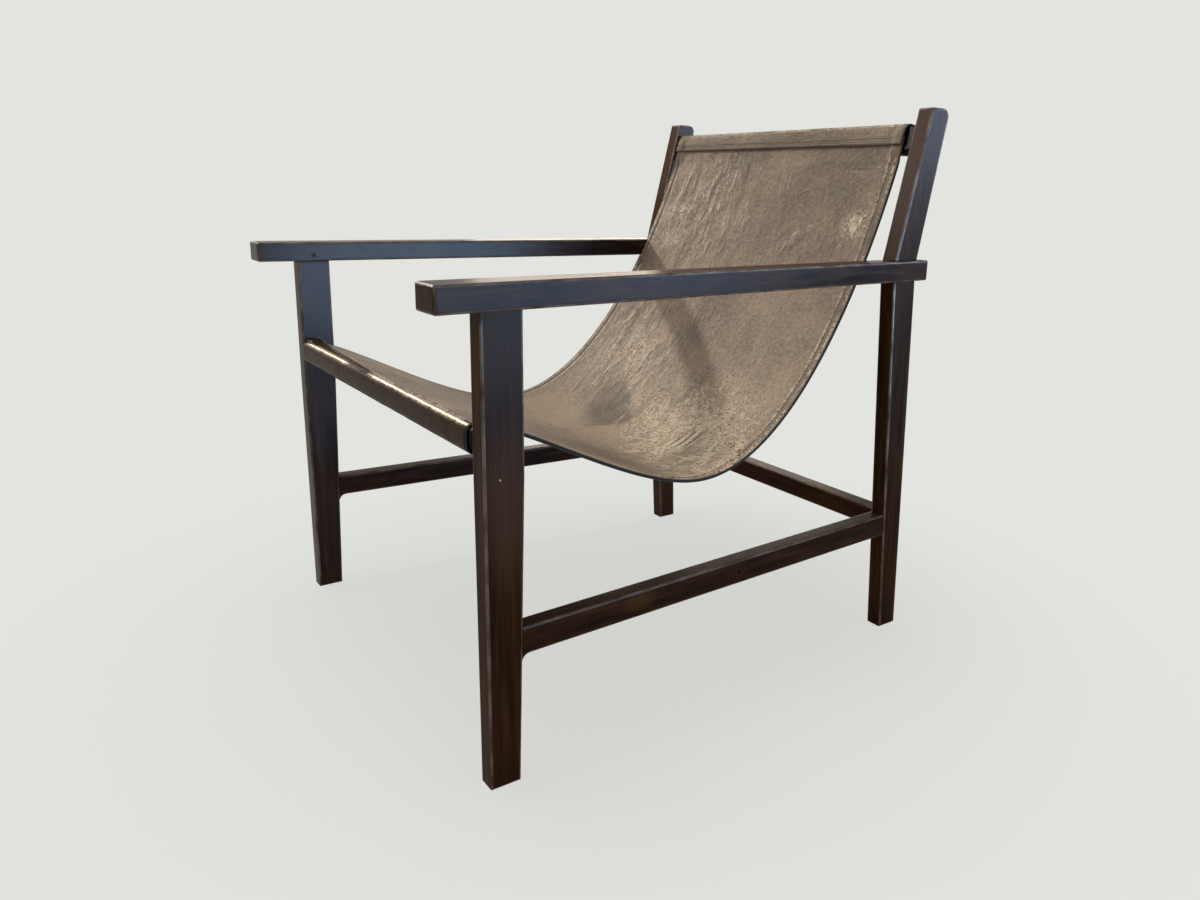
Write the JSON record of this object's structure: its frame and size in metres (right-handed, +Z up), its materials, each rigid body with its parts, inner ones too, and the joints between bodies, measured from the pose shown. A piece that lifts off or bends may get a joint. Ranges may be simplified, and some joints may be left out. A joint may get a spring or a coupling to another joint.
{
  "type": "sling lounge chair",
  "caption": "Leather sling lounge chair: dark hardwood frame with flat arms, raked rear posts and low stretchers, carrying a hide slung between a front rail and a top back rail.",
  "frame": {"origin": "on the floor, at the middle of the width and of the overall depth", "axes": "+Z up, the sitter faces -Y, +X is the sitter's left"},
  "size_m": [0.7236, 0.798, 0.782],
  "materials": {
    "stained_hardwood": "dark espresso stain, satin lacquer",
    "peg_wood": "stained, matt",
    "bronze_leather": "antique bronze sheen, fine crinkle"
  },
  "bodies": {
    "root": {"left_front_leg": "stained_hardwood", "left_rear_post": "stained_hardwood", "left_armrest": "stained_hardwood", "left_side_stretcher": "stained_hardwood", "left_arm_front_peg": "peg_wood", "left_arm_rear_peg": "peg_wood", "left_stretcher_front_peg": "peg_wood", "left_stretcher_rear_peg": "peg_wood", "left_rear_stretcher_peg": "peg_wood", "left_front_rail_peg": "peg_wood", "left_top_rail_peg": "peg_wood", "right_front_leg": "stained_hardwood", "right_rear_post": "stained_hardwood", "right_armrest": "stained_hardwood", "right_side_stretcher": "stained_hardwood", "right_arm_front_peg": "peg_wood", "right_arm_rear_peg": "peg_wood", "right_stretcher_front_peg": "peg_wood", "right_stretcher_rear_peg": "peg_wood", "right_rear_stretcher_peg": "peg_wood", "right_front_rail_peg": "peg_wood", "right_top_rail_peg": "peg_wood", "rear_stretcher": "stained_hardwood", "front_seat_rail": "stained_hardwood", "top_back_rail": "stained_hardwood", "leather_sling": "bronze_leather"}
  },
  "joints": []
}
